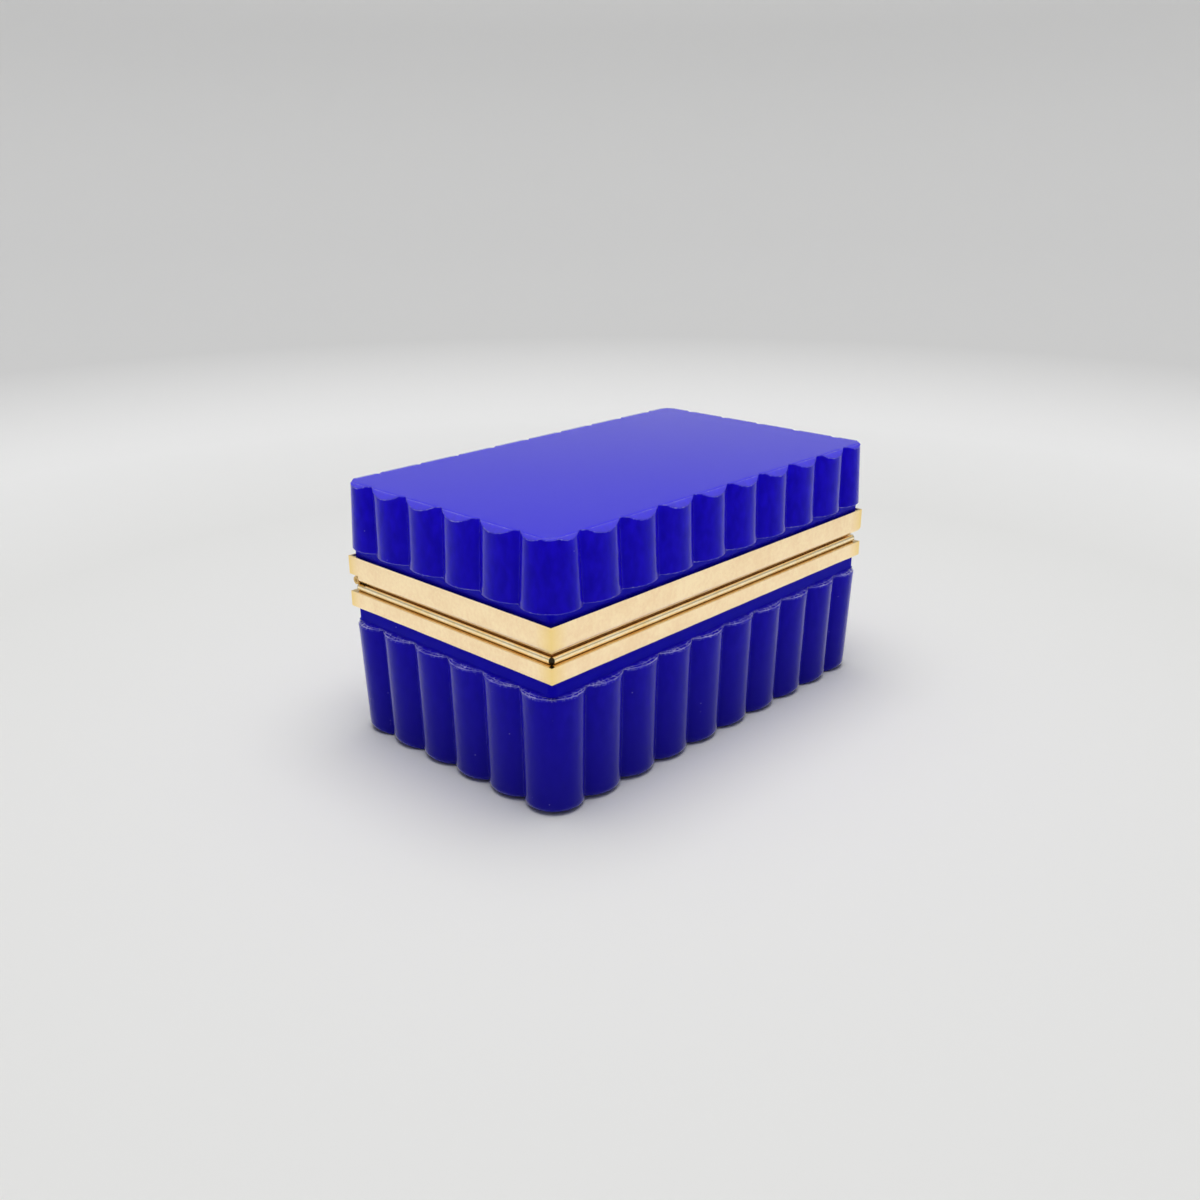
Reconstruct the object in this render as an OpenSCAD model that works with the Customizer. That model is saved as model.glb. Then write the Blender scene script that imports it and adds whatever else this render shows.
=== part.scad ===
// Casket box of pressed opaline glass with lobed sides, a hinged lid and a brass mount.
// Millimetres. +X runs along the long side, +Z is up, and the front is on the -Y side.
// The origin is the middle of the underside, on the surface that the box stands on.

/* [Brass mount] */
// Outer length of the two metal frames
frame_l = 140.4; // [110:0.1:200]
// Outer depth of the two metal frames, front to back
frame_w = 82.8; // [66:0.1:130]
// Thickness of the upright bands
band_t = 0.7; // [0.5:0.05:1.2]
// Height of the base frame's band
base_band_h = 4.9; // [4:0.1:8]
// Height of the lid frame's band
lid_band_h = 5.75; // [5:0.05:9]
// Height of the open groove between the two bands
groove_h = 5; // [4.6:0.1:6]
// Thickness of the flanges that lie over the glass rims
flange_t = 0.6; // [0.4:0.05:1]
// Rounding of the base band's lower edge
band_edge_r = 0.6; // [0.2:0.05:0.65]
// How far the base frame's inner land rises above its band
land_h = 2.7; // [2.5:0.05:3]
// Clearance between the lands of the closed frames
close_gap = 0.2; // [0.1:0.05:0.4]
// Rounding under the lid frame's band, where it turns in to its land
lid_foot_r = 2.1; // [1:0.1:2.3]
// Radius of the half-round bead
bead_r = 1.1; // [0.8:0.05:1.15]
// How far the bead's centre line lies inside the band's face
bead_in = 2; // [1.6:0.05:2.4]
// Radius of the nick where the beads meet at a corner
nick_r = 1; // [0.5:0.05:1.2]

/* [Glass] */
// Height from the underside to the lower edge of the base frame
base_h = 38.2; // [30:0.1:60]
// Height of plain neck that shows below the base frame
base_neck = 3.8; // [2:0.1:6]
// Height of plain neck that shows above the lid frame
lid_neck = 2.75; // [2:0.05:6]
// Height of the lid's lobes, from their lower ledge to the flat top
lid_lobe_h = 19.3; // [14:0.1:30]
// Number of lobes along each long side
lobes_long = 8; // [5:1:12]
// Number of lobes along each short side
lobes_short = 4; // [3:1:8]
// How far each lobe swells out of the neck's face
lobe_rise = 2.9; // [1.5:0.1:4]
// How far the base's corner lobes reach in along each side, at their upper ends
base_corner = 12; // [9:0.1:14]
// The same at the foot
foot_corner = 11.4; // [9:0.1:14]
// How far the lid's corner lobes reach in along each side, at their lower ends
lid_corner = 11.4; // [9:0.1:14]
// The same at the top
top_corner = 10.1; // [9:0.1:14]
// How much the base narrows on each side from its ledge down to its foot
base_draft = 1; // [0:0.1:3]
// How much the lid narrows on each side from its ledge up to its top
lid_draft = 0.6; // [0:0.1:2]
// Rounding of the foot
foot_r = 2.5; // [1:0.1:4]
// Rounding of the base lobes' upper ends
base_lip_r = 1.2; // [0.4:0.1:1.4]
// Rounding of the lid lobes' lower ends
lid_lip_r = 0.4; // [0.2:0.1:1]
// Fall of the ground bevel on the lid for each millimetre outward
bevel_fall = 0.95; // [0.2:0.05:1.2]
// How far the flat top reaches out past the grooves before the bevel cuts it
flat_out = 1.2; // [0.5:0.1:1.4]
// How far in from a corner lobe's crest the bevel cuts across it
corner_bevel = 0.5; // [0.3:0.1:2]
// Wall between the neck's face and the inside
wall = 4.6; // [3.5:0.1:7]
// Thickness of the base's floor
floor_t = 6; // [4:0.1:9]
// Thickness of the lid's top
lid_top_t = 7; // [4:0.1:9]
// Corner radius of the neck
neck_r = 1.8; // [0.5:0.1:4]
// Corner radius of the inside
inside_r = 5; // [2:0.1:9]

/* [Bedding] */
// Thickness of the cement between glass and metal
bed_t = 0.3; // [0.2:0.05:0.6]

/* [Hinge] */
// Radius of the hinge barrel
barrel_r = 1.2; // [1.1:0.05:1.25]
// Radius of the hinge pin
pin_r = 0.5; // [0.4:0.05:0.6]
// Running clearance between the pin and the knuckles, on the radius
pin_clear = 0.05; // [0.02:0.01:0.1]
// How far the hinge's axis lies inside the band's face
hinge_in = 2; // [1.9:0.05:2.1]
// Number of knuckles, the odd ones on the base
knuckles = 7; // [3:2:11]
// Clearance between neighbouring knuckles
knuckle_gap = 0.2; // [0.1:0.05:0.5]
// How far each end of the barrel stops short of the frame's end
barrel_end = 0.6; // [0.3:0.1:2]
// Thickness of the hinge leaves
leaf_t = 0.45; // [0.3:0.05:0.5]
// Clearance between the barrel and the pieces that it turns past
barrel_clear = 0.15; // [0.1:0.05:0.25]
// Radius of the long rounding down the lid frame's back
relief_r = 5; // [4:0.1:12]
// Metal left in the rear band where that rounding passes its flange
relief_wall = 0.3; // [0.2:0.05:0.4]

/* [Smoothness] */
// Facets along one side lobe
lobe_facets = 8; // [6:1:10]
// Facets along one corner lobe
corner_facets = 16; // [12:1:20]
// Steps of each rounded glass edge
edge_steps = 3; // [2:1:4]

/* [Hidden] */
// half sizes of the neck, whose face is the line of the grooves between lobes
neck_x = frame_l / 2 - band_t - bed_t;
neck_y = frame_w / 2 - band_t - bed_t;
// how far the flanges reach in from the band's face, level with the glass inside
reach = band_t + bed_t + wall;
// heights of the base
base_ledge = base_h - base_neck;
base_band_top = base_h + base_band_h;
base_rim = base_band_top - flange_t - bed_t;
land_top = base_band_top + land_h;
// heights of the hinge
bead_z = base_band_top + bead_r;
bay_top = base_band_top + groove_h + leaf_t / 2;
hinge_z = bay_top - leaf_t - barrel_clear - barrel_r;
// heights of the lid
lid_land = land_top + close_gap;
lid_band_z = base_band_top + groove_h;
lid_band_top = lid_band_z + lid_band_h;
lid_flange_top = bay_top + flange_t;
lid_rim = lid_flange_top + bed_t;
lid_ledge = lid_band_top + lid_neck;
lid_top = lid_ledge + lid_lobe_h;
// the bay that the hinge lies in, measured in from the back band's face
bay_in = hinge_in + barrel_r + barrel_clear + leaf_t;
bead_reach = bead_in + bead_r;
// height of the rounding on the lid frame's back, where it thins the band to relief_wall
relief_cut = band_t - relief_wall;
relief_h = flange_t + sqrt(pow(relief_r, 2) - pow(relief_r - relief_cut, 2));
// the hinge's lengths
barrel_l = frame_l - 2 * barrel_end;
knuckle_pitch = (barrel_l + knuckle_gap) / knuckles;
knuckle_l = knuckle_pitch - knuckle_gap;
saddle_l = knuckle_l / 2;
base_leaf_l = frame_l - 2 * bead_reach - 2 * knuckle_gap;
// a cut runs this far past the face that it cuts
past = 1;
// the ring that closes a lobed end lies this far inside its grooves, and its corner crests
ring_in = 0.2;
ring_corner_in = 1;
$fn = 48;

GLASS = "mediumblue";
BRASS = "goldenrod";
CEMENT = "gainsboro";

SIDES = ["front", "right", "rear", "left"];

// ---- outline of the lobes ----

// points from p up to q along an arc that swells out by rise to the right of the way
function arc_points(p, q, rise, count) =
    let (way = q - p,
         chord = norm(way),
         along = way / chord,
         out = [along[1], -along[0]],
         radius = (chord * chord / 4 + rise * rise) / (2 * rise),
         centre = (p + q) / 2 + out * (rise - radius),
         half = asin(min(1, chord / 2 / radius)))
    [for (i = [0 : count - 1])
        let (turn = half * (2 * i / count - 1))
        centre + radius * (cos(turn) * out + sin(turn) * along)];

// points from p up to q along the straight line
function line_points(p, q, count) = [for (i = [0 : count - 1]) p + (q - p) * i / count];

// the grooves between lobes, anticlockwise from the front left, on half sizes x and y
function grooves(x, y, corner) =
    let (run_x = x - corner,
         run_y = y - corner,
         step_x = 2 * run_x / lobes_long,
         step_y = 2 * run_y / lobes_short)
    concat([for (i = [0 : lobes_long]) [i * step_x - run_x, -y]],
           [for (i = [0 : lobes_short]) [x, i * step_y - run_y]],
           [for (i = [0 : lobes_long]) [run_x - i * step_x, y]],
           [for (i = [0 : lobes_short]) [-x, run_y - i * step_y]]);

// one outline; shrink takes as much off the swell of every lobe
function lobed_outline(x, y, corner, shrink) =
    let (g = grooves(x, y, corner))
    [for (i = [0 : len(g) - 1])
        let (p = g[i],
             q = g[(i + 1) % len(g)],
             is_corner = p[0] != q[0] && p[1] != q[1],
             rise = is_corner ? norm(q - p) / 2 : lobe_rise)
        each arc_points(p, q, rise - shrink, is_corner ? corner_facets : lobe_facets)];

// ring that closes a lobed end: straight from groove to groove, and round at the corners
function flat_outline(x, y, corner, corner_shrink) =
    let (g = grooves(x, y, corner))
    [for (i = [0 : len(g) - 1])
        let (p = g[i],
             q = g[(i + 1) % len(g)],
             is_corner = p[0] != q[0] && p[1] != q[1])
        each is_corner ? arc_points(p, q, norm(q - p) / 2 - corner_shrink, corner_facets)
                       : line_points(p, q, lobe_facets)];

function between(low, high, share) = low + (high - low) * share;

function at_height(outline, z) = [for (p = outline) [p[0], p[1], z]];

// solid between outlines of equal length, stacked from the bottom up and closed from its middle
module loft(rings) {
    n = len(rings[0]);
    last = (len(rings) - 1) * n;
    under = len(rings) * n;
    over = under + 1;
    sides = [for (k = [0 : len(rings) - 2], i = [0 : n - 1])
        let (low = k * n,
             high = low + n,
             j = (i + 1) % n)
        each [[low + i, high + i, high + j], [low + i, high + j, low + j]]];
    ends = [for (i = [0 : n - 1])
        let (j = (i + 1) % n)
        each [[under, i, j], [over, last + j, last + i]]];
    polyhedron(points = concat([for (ring = rings) each ring],
                               [[0, 0, rings[0][0][2]], [0, 0, rings[len(rings) - 1][0][2]]]),
               faces = concat(sides, ends));
}

// ---- plain shapes ----

// rectangle about the origin with half sizes x and y and true round corners
module round_plate(x, y, r) {
    square([2 * x, 2 * (y - r)], center = true);
    square([2 * (x - r), 2 * y], center = true);
    for (sx = [-1, 1], sy = [-1, 1])
        translate([sx * (x - r), sy * (y - r)])
            circle(r = r);
}

module neck(z_low, z_high) {
    translate([0, 0, z_low])
        linear_extrude(z_high - z_low)
            round_plate(neck_x, neck_y, neck_r);
}

module inside(z_low, z_high) {
    translate([0, 0, z_low])
        linear_extrude(z_high - z_low)
            round_plate(neck_x - wall, neck_y - wall, inside_r);
}

// square-cornered block that fills the frames between their bands
module frame_inside(z_low, z_high) {
    translate([-neck_x - bed_t, -neck_y - bed_t, z_low])
        cube([2 * (neck_x + bed_t), 2 * (neck_y + bed_t), z_high - z_low]);
}

// ---- glass ----

// flat ring just inside the grooves, from which a lobed end is closed
function end_ring(narrow, corner, shrink, z) =
    let (x = neck_x - narrow - ring_in,
         y = neck_y - narrow - ring_in)
    at_height(flat_outline(x, y, corner, shrink + ring_corner_in), z);

function base_ring(z, inset, shrink) =
    let (share = z / base_ledge,
         narrow = base_draft * (1 - share) + inset,
         corner = between(foot_corner, base_corner, share))
    at_height(lobed_outline(neck_x - narrow, neck_y - narrow, corner, shrink), z);

module base_glass() {
    turns = [for (i = [0 : edge_steps]) 90 * i / edge_steps];
    sole = end_ring(base_draft + foot_r, foot_corner, 0, 0);
    foot = [for (turn = turns) base_ring(foot_r * (1 - cos(turn)), foot_r * (1 - sin(turn)), 0)];
    lip = [for (turn = turns)
        base_ring(base_ledge - base_lip_r * (1 - sin(turn)), 0, base_lip_r * (1 - cos(turn)))];
    ledge = end_ring(0, base_corner, base_lip_r, base_ledge);
    color(GLASS)
        difference() {
            union() {
                loft(concat([sole], foot, lip, [ledge]));
                neck(base_ledge, base_rim);
            }
            inside(floor_t, base_rim + past);
        }
}

function lid_ring(z, shrink) =
    let (share = (z - lid_ledge) / lid_lobe_h,
         narrow = lid_draft * share,
         corner = between(lid_corner, top_corner, share))
    at_height(lobed_outline(neck_x - narrow, neck_y - narrow, corner, shrink), z);

// p brought in to where the bevel begins, on a top with half sizes x and y
function bevel_start(p, x, y) =
    let (px = min(abs(p[0]), x + flat_out),
         py = min(abs(p[1]), y + flat_out),
         over = max(0, (px + py - x - y) / 2 + corner_bevel / sqrt(2)))
    [sign(p[0]) * (px - over), sign(p[1]) * (py - over)];

// how far p lies outward of the line along which the bevel begins
function bevel_width(p, x, y) =
    max(0,
        abs(p[0]) - x - flat_out,
        abs(p[1]) - y - flat_out,
        (abs(p[0]) + abs(p[1]) - x - y) / sqrt(2) + corner_bevel);

module lid_glass() {
    turns = [for (i = [0 : edge_steps]) 90 * i / edge_steps];
    ledge = end_ring(0, lid_corner, lid_lip_r, lid_ledge);
    lip = [for (turn = turns)
        lid_ring(lid_ledge + lid_lip_r * (1 - cos(turn)), lid_lip_r * (1 - sin(turn)))];
    top_x = neck_x - lid_draft;
    top_y = neck_y - lid_draft;
    crown = lobed_outline(top_x, top_y, top_corner, 0);
    edge = [for (p = crown) [p[0], p[1], lid_top - bevel_fall * bevel_width(p, top_x, top_y)]];
    flat = at_height([for (p = crown) bevel_start(p, top_x, top_y)], lid_top);
    middle = end_ring(lid_draft, top_corner, 0, lid_top);
    color(GLASS)
        difference() {
            union() {
                loft(concat([ledge], lip, [edge, flat, middle]));
                neck(lid_rim, lid_ledge);
            }
            inside(lid_rim - past, lid_top - lid_top_t);
        }
}

// ---- cement between glass and metal ----

module base_bed() {
    color(CEMENT)
        difference() {
            frame_inside(base_h + band_edge_r, base_rim + bed_t);
            neck(base_h, base_rim);
            inside(base_h, base_band_top);
        }
}

module lid_bed() {
    color(CEMENT)
        difference() {
            frame_inside(lid_flange_top, lid_band_top - band_edge_r);
            neck(lid_rim, lid_band_top);
            inside(bay_top, lid_band_top);
        }
}

// ---- brass mount ----

function is_long(side) = side == "front" || side == "rear";
function run_of(side) = is_long(side) ? frame_l : frame_w;
function turn_of(side) = 90 * search([side], SIDES)[0];

// a side's frame: X along the run, Y inward from the band's face
module on_side(side) {
    rotate([0, 0, turn_of(side)])
        translate([0, -(is_long(side) ? frame_w : frame_l) / 2, 0])
            children();
}

// section in (inward, up) swept along a run, with both ends mitred at 45 degrees
module mitred(run, depth) {
    intersection() {
        rotate([90, 0, 90])
            translate([0, 0, -run / 2])
                linear_extrude(run)
                    children();
        linear_extrude(lid_top)
            polygon([[-run / 2, 0], [run / 2, 0], [run / 2 - depth, depth], [depth - run / 2, depth]]);
    }
}

// the space along the back, between the two frames, that holds the hinge
module hinge_bay() {
    translate([-frame_l / 2 - past, frame_w / 2 - bay_in, base_band_top])
        cube([frame_l + 2 * past, bay_in + past, bay_top - base_band_top]);
}

// what the long rounding takes off the lid frame's back
module back_relief() {
    length = frame_l + 2 * past;
    translate([-length / 2, frame_w / 2 - relief_r, bay_top])
        difference() {
            translate([0, relief_r / 2, 0])
                cube([length, relief_r / 2 + past, relief_h]);
            translate([0, 0, relief_h])
                rotate([0, 90, 0])
                    cylinder(r = relief_r, h = length, $fn = 96);
        }
}

// rectangle up and inward from the origin, with its lower outer corner rounded
module rounded_foot(width, height, radius) {
    r = min(radius, width, height);
    difference() {
        square([width, height]);
        difference() {
            square(r);
            translate([r, r])
                circle(r = r);
        }
    }
}

module base_rail_section() {
    translate([0, base_h])
        rounded_foot(band_t, base_band_h, band_edge_r);
    translate([0, base_band_top - flange_t])
        square([reach, flange_t]);
    translate([bead_reach, base_band_top])
        square([reach - bead_reach, land_h]);
}

module base_rail(side) {
    color(BRASS)
        difference() {
            on_side(side)
                mitred(run_of(side), reach)
                    base_rail_section();
            hinge_bay();
        }
}

module base_bead(side) {
    color(BRASS)
        difference() {
            on_side(side)
                mitred(run_of(side), bead_reach) {
                    translate([bead_in, bead_z])
                        circle(r = bead_r);
                    translate([bead_in, base_band_top])
                        square(bead_r);
                }
            for (sx = [-1, 1], sy = [-1, 1])
                translate([sx * (frame_l / 2 - bead_in + bead_r),
                           sy * (frame_w / 2 - bead_in + bead_r),
                           base_band_top - past])
                    cylinder(r = nick_r, h = 2 * bead_r + 2 * past);
        }
}

module lid_rail_section() {
    translate([0, lid_land])
        rounded_foot(reach, bay_top - lid_land, lid_foot_r);
    translate([0, bay_top])
        square([reach, flange_t]);
    translate([0, bay_top])
        square([band_t, lid_band_top - bay_top]);
}

module lid_rail(side) {
    color(BRASS)
        difference() {
            on_side(side)
                mitred(run_of(side), reach)
                    lid_rail_section();
            hinge_bay();
            back_relief();
        }
}

// ---- hinge ----

// a frame at the hinge: X along the axis, Y inward from the back band's face
module at_back() {
    mirror([0, 1, 0])
        translate([0, -frame_w / 2, 0])
            children();
}

module rod(x_low, length, radius) {
    translate([x_low, hinge_in, hinge_z])
        rotate([0, 90, 0])
            cylinder(r = radius, h = length);
}

// every second knuckle from the first one on, each with a saddle that holds it to its leaf
module knuckle_row(first, saddle_y, saddle_z, saddle_size) {
    for (i = [first : 2 : knuckles - 1]) {
        x = -barrel_l / 2 + i * knuckle_pitch;
        rod(x, knuckle_l, barrel_r);
        translate([x + (knuckle_l - saddle_l) / 2, saddle_y, saddle_z])
            cube([saddle_l, saddle_size[0], saddle_size[1]]);
    }
}

module base_hinge_leaf() {
    saddle_z = hinge_z - barrel_r;
    color(BRASS)
        at_back()
            difference() {
                union() {
                    knuckle_row(0, hinge_in, saddle_z, [bay_in - hinge_in, land_top - saddle_z]);
                    translate([-base_leaf_l / 2, bay_in - leaf_t, base_band_top])
                        cube([base_leaf_l, leaf_t, land_h]);
                }
                rod(-frame_l / 2, frame_l, pin_r + pin_clear);
            }
}

module lid_hinge_leaf() {
    leaf_z = bay_top - leaf_t;
    half = barrel_r / 2;
    color(BRASS)
        at_back()
            difference() {
                union() {
                    knuckle_row(1, hinge_in - half, hinge_z + half, [2 * half, leaf_z - hinge_z - half]);
                    translate([-barrel_l / 2, hinge_in - half, leaf_z])
                        cube([barrel_l, bay_in - hinge_in + half, leaf_t]);
                }
                rod(-frame_l / 2, frame_l, pin_r + pin_clear);
            }
}

module hinge_pin() {
    color(BRASS)
        at_back()
            rod(-barrel_l / 2, barrel_l, pin_r);
}

base_glass();
base_bed();
base_rail("front");  // base_rail_front
base_rail("right");  // base_rail_right
base_rail("rear");  // base_rail_rear
base_rail("left");  // base_rail_left
base_bead("front");  // base_bead_front
base_bead("right");  // base_bead_right
base_bead("rear");  // base_bead_rear
base_bead("left");  // base_bead_left
base_hinge_leaf();
hinge_pin();
lid_glass();
lid_bed();
lid_rail("front");  // lid_rail_front
lid_rail("right");  // lid_rail_right
lid_rail("rear");  // lid_rail_rear
lid_rail("left");  // lid_rail_left
lid_hinge_leaf();
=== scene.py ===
# %% [markdown]
# # A casket box of lobed opaline glass
#
# The box is a cup and a cover of opaque blue glass. Each was pressed in a mould with swelling lobes
# all round, and each is held in a brass frame. The two frames are joined by a long hinge at the back.
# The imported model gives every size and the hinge; this script gives every surface its look.

import bmesh
import bpy
import numpy as np
from mathutils import Matrix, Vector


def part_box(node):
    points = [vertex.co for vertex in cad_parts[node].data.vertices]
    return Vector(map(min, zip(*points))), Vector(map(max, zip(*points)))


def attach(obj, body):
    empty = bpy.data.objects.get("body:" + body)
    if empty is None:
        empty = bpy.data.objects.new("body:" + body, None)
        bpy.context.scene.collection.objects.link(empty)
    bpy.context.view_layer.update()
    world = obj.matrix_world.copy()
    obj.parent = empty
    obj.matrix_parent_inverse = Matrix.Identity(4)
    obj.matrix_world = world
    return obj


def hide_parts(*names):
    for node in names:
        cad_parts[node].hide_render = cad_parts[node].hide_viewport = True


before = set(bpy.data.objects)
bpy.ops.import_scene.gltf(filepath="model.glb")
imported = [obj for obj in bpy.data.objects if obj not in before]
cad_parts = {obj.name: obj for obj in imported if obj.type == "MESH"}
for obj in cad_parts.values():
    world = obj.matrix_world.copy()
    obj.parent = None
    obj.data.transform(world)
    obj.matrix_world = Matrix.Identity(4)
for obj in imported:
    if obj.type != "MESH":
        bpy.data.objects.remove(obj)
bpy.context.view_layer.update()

MM = 0.001

# %% [markdown]
# ## Sizes
#
# Heights and lengths are read from the model's own pieces, so that each surface meets its neighbour.
# The glass was pressed and the metal was bent and soldered, so every edge is a little round. Those
# small radii are what catches the light, and they are the sizes that this script adds.

# %% Heights and half sizes, from the pieces
def extent(node, axis):
    """Lowest and highest millimetre of a piece along axis 0, 1 or 2."""
    low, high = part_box(node)
    return low[axis] / MM, high[axis] / MM


band_x = extent("base_rail_front", 0)[1]
band_y = extent("base_rail_right", 1)[1]
cup_band_low, cup_land_top = extent("base_rail_front", 2)
cup_rim = extent("base_glass", 2)[1]
cup_band_top = extent("base_bead_front", 2)[0]
cover_land, cover_band_top = extent("lid_rail_front", 2)
cover_rim, cover_top = extent("lid_glass", 2)
bay_top = extent("lid_hinge_leaf", 2)[1]
reach = band_y + extent("base_rail_front", 1)[1]
print("mount, mm", np.round([2 * band_x, 2 * band_y], 2), "reach", round(reach, 2))
print("heights, mm", np.round([cup_band_low, cup_rim, cup_band_top, cover_rim, cover_band_top, cover_top], 2))

# %% Sizes of the mount and the glass, in millimetres
# thickness of the band, of the bedding behind it, and of the flange over the glass
BAND_T = 0.7
BED_T = 0.3
FLANGE_T = 0.6

# the glass: its wall, the plain necks that the mount holds, round corners, floor and top
WALL = 4.6
CUP_NECK = 3.8
COVER_NECK = 2.75
NECK_R = 1.8
INSIDE_R = 5.0
FLOOR_T = 6.0
COVER_TOP_T = 7.0

# lobes on a long and on a short side, how far they swell, and how far along each side the corner lobes
# reach: at the cup's ledge, its foot, the cover's ledge and its top
LOBES_LONG = 8
LOBES_SHORT = 4
LOBE_RISE = 2.9
CUP_CORNER = 12.0
FOOT_CORNER = 11.4
COVER_CORNER = 11.4
TOP_CORNER = 10.1

# how much each side draws in toward the foot and toward the top, and the roundings of foot and lips
CUP_DRAFT = 1.0
COVER_DRAFT = 0.6
FOOT_R = 2.5
CUP_LIP_R = 1.2
COVER_LIP_R = 0.4

# the ground bevel: its fall for each millimetre outward, how far outside the grooves it begins, and how
# far inside the corner its corner cut lies
BEVEL_FALL = 0.95
FLAT_OUT = 1.2
CORNER_BEVEL = 0.5

neck_x = band_x - BAND_T - BED_T
neck_y = band_y - BAND_T - BED_T
cup_ledge = cup_band_low - CUP_NECK
cover_ledge = cover_band_top + COVER_NECK
print("neck, mm", np.round([neck_x, neck_y], 2), "ledges", np.round([cup_ledge, cover_ledge], 2))

# %% [markdown]
# ## Building surfaces
#
# Every new piece is a stack of rings with the same number of points. Two neighbouring rings make a
# strip of faces. Rings that touch are joined afterwards, so a face may shrink to nothing where two
# shapes meet.

# %% From rings to a mesh
WELD = 0.0005 * MM
CREASE = np.radians(38)


def strip_faces(levels, count):
    """Corner numbers of the faces between rings: i of ring k, i + 1 of k, i + 1 of k + 1, i of k + 1."""
    k, i = np.meshgrid(np.arange(levels - 1), np.arange(count), indexing="ij")
    j = (i + 1) % count
    low, high = k * count, (k + 1) * count
    return np.stack([low + i, low + j, high + j, high + i], axis=-1).reshape(-1, 4)


def ring_mesh(name, rings, ends="middle", **marks):
    """Closed mesh from rings of millimetre points, an array of levels x points x 3.

    An end is closed by a fan to its middle, or by one flat face. marks are named values, one for each
    point of the rings, that the materials read.
    """
    levels, count = rings.shape[:2]
    points = rings.reshape(-1, 3) * MM
    faces = strip_faces(levels, count).tolist()
    last = (levels - 1) * count
    if ends == "middle":
        i = np.arange(count)
        j = (i + 1) % count
        middles = np.array([rings[0].mean(axis=0), rings[-1].mean(axis=0)]) * MM
        under = len(points)
        points = np.concatenate([points, middles])
        faces += np.stack([j, i, np.full(count, under)], axis=1).tolist()
        faces += np.stack([last + i, last + j, np.full(count, under + 1)], axis=1).tolist()
    else:
        faces.append(list(range(count))[::-1])
        faces.append(list(range(last, last + count)))
    mesh = bpy.data.meshes.new(name)
    mesh.from_pydata(points.tolist(), [], faces)
    for mark, values in marks.items():
        layer = mesh.attributes.new(mark, "FLOAT", "POINT")
        padded = np.zeros(len(points), dtype=np.float32)
        padded[:levels * count] = np.asarray(values, dtype=np.float32).reshape(-1)
        layer.data.foreach_set("value", padded)
    return finish_mesh(name, mesh)


def finish_mesh(name, mesh):
    """Joins points that touch, turns all faces outward and shades all but the sharp edges smooth."""
    work = bmesh.new()
    work.from_mesh(mesh)
    bmesh.ops.remove_doubles(work, verts=work.verts, dist=WELD)
    bmesh.ops.dissolve_degenerate(work, edges=work.edges, dist=WELD)
    bmesh.ops.recalc_face_normals(work, faces=work.faces)
    open_edges = sum(1 for edge in work.edges if not edge.is_manifold)
    volume = work.calc_volume(signed=True) / MM ** 3
    work.to_mesh(mesh)
    work.free()
    mesh.shade_smooth()
    mesh.set_sharp_from_angle(angle=CREASE)
    piece = bpy.data.objects.new(name, mesh)
    bpy.context.scene.collection.objects.link(piece)
    print(f"{name}: {len(mesh.vertices)} points, {volume:.1f} mm3, {open_edges} open edges")
    return piece


def at_height(outline, z):
    """The outline's points with the height z, one number or one for each point."""
    return np.column_stack([outline, np.broadcast_to(z, len(outline))])

# %% [markdown]
# ## The lobed outline
#
# Seen from above, the glass is a row of circular arcs: eight on each long side, four on each short
# side and a fuller one at each corner. In the mould the grooves between them are narrow but not
# knife sharp, because hot glass doesn't run into a sharp edge. A small hollow arc, tangent to both
# neighbours, gives each groove its dark line with a bright edge.

# %% Arcs and hollows
LOBE_STEPS = 40
HOLLOW_STEPS = 4
HOLLOW_R = 0.35
ALMOST_ZERO = 1e-6


def grooves(x, y, corner):
    """Where the arcs meet: even steps along each side of the rectangle x, y, between the corner lobes."""
    along_x = np.linspace(corner - x, x - corner, LOBES_LONG + 1)
    along_y = np.linspace(corner - y, y - corner, LOBES_SHORT + 1)
    side_x = np.full_like(along_y, x)
    side_y = np.full_like(along_x, y)
    return np.concatenate([np.column_stack([along_x, -side_y]), np.column_stack([side_x, along_y]),
                           np.column_stack([-along_x, side_y]), np.column_stack([-side_x, -along_y])])


def arc(centre, start, sweep, steps):
    """Points of several arcs at once: centre + (start - centre) turned by equal shares of sweep."""
    turn = sweep[:, None] * np.linspace(0, 1, steps + 1)
    arm = (start - centre)[:, None, :]
    across = np.stack([-arm[..., 1], arm[..., 0]], axis=-1)
    return centre[:, None, :] + arm * np.cos(turn)[..., None] + across * np.sin(turn)[..., None]


def angle_between(a, b):
    """Signed angle from a to b, anticlockwise positive."""
    return np.arctan2(a[:, 0] * b[:, 1] - a[:, 1] * b[:, 0], (a * b).sum(axis=1))


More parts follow.
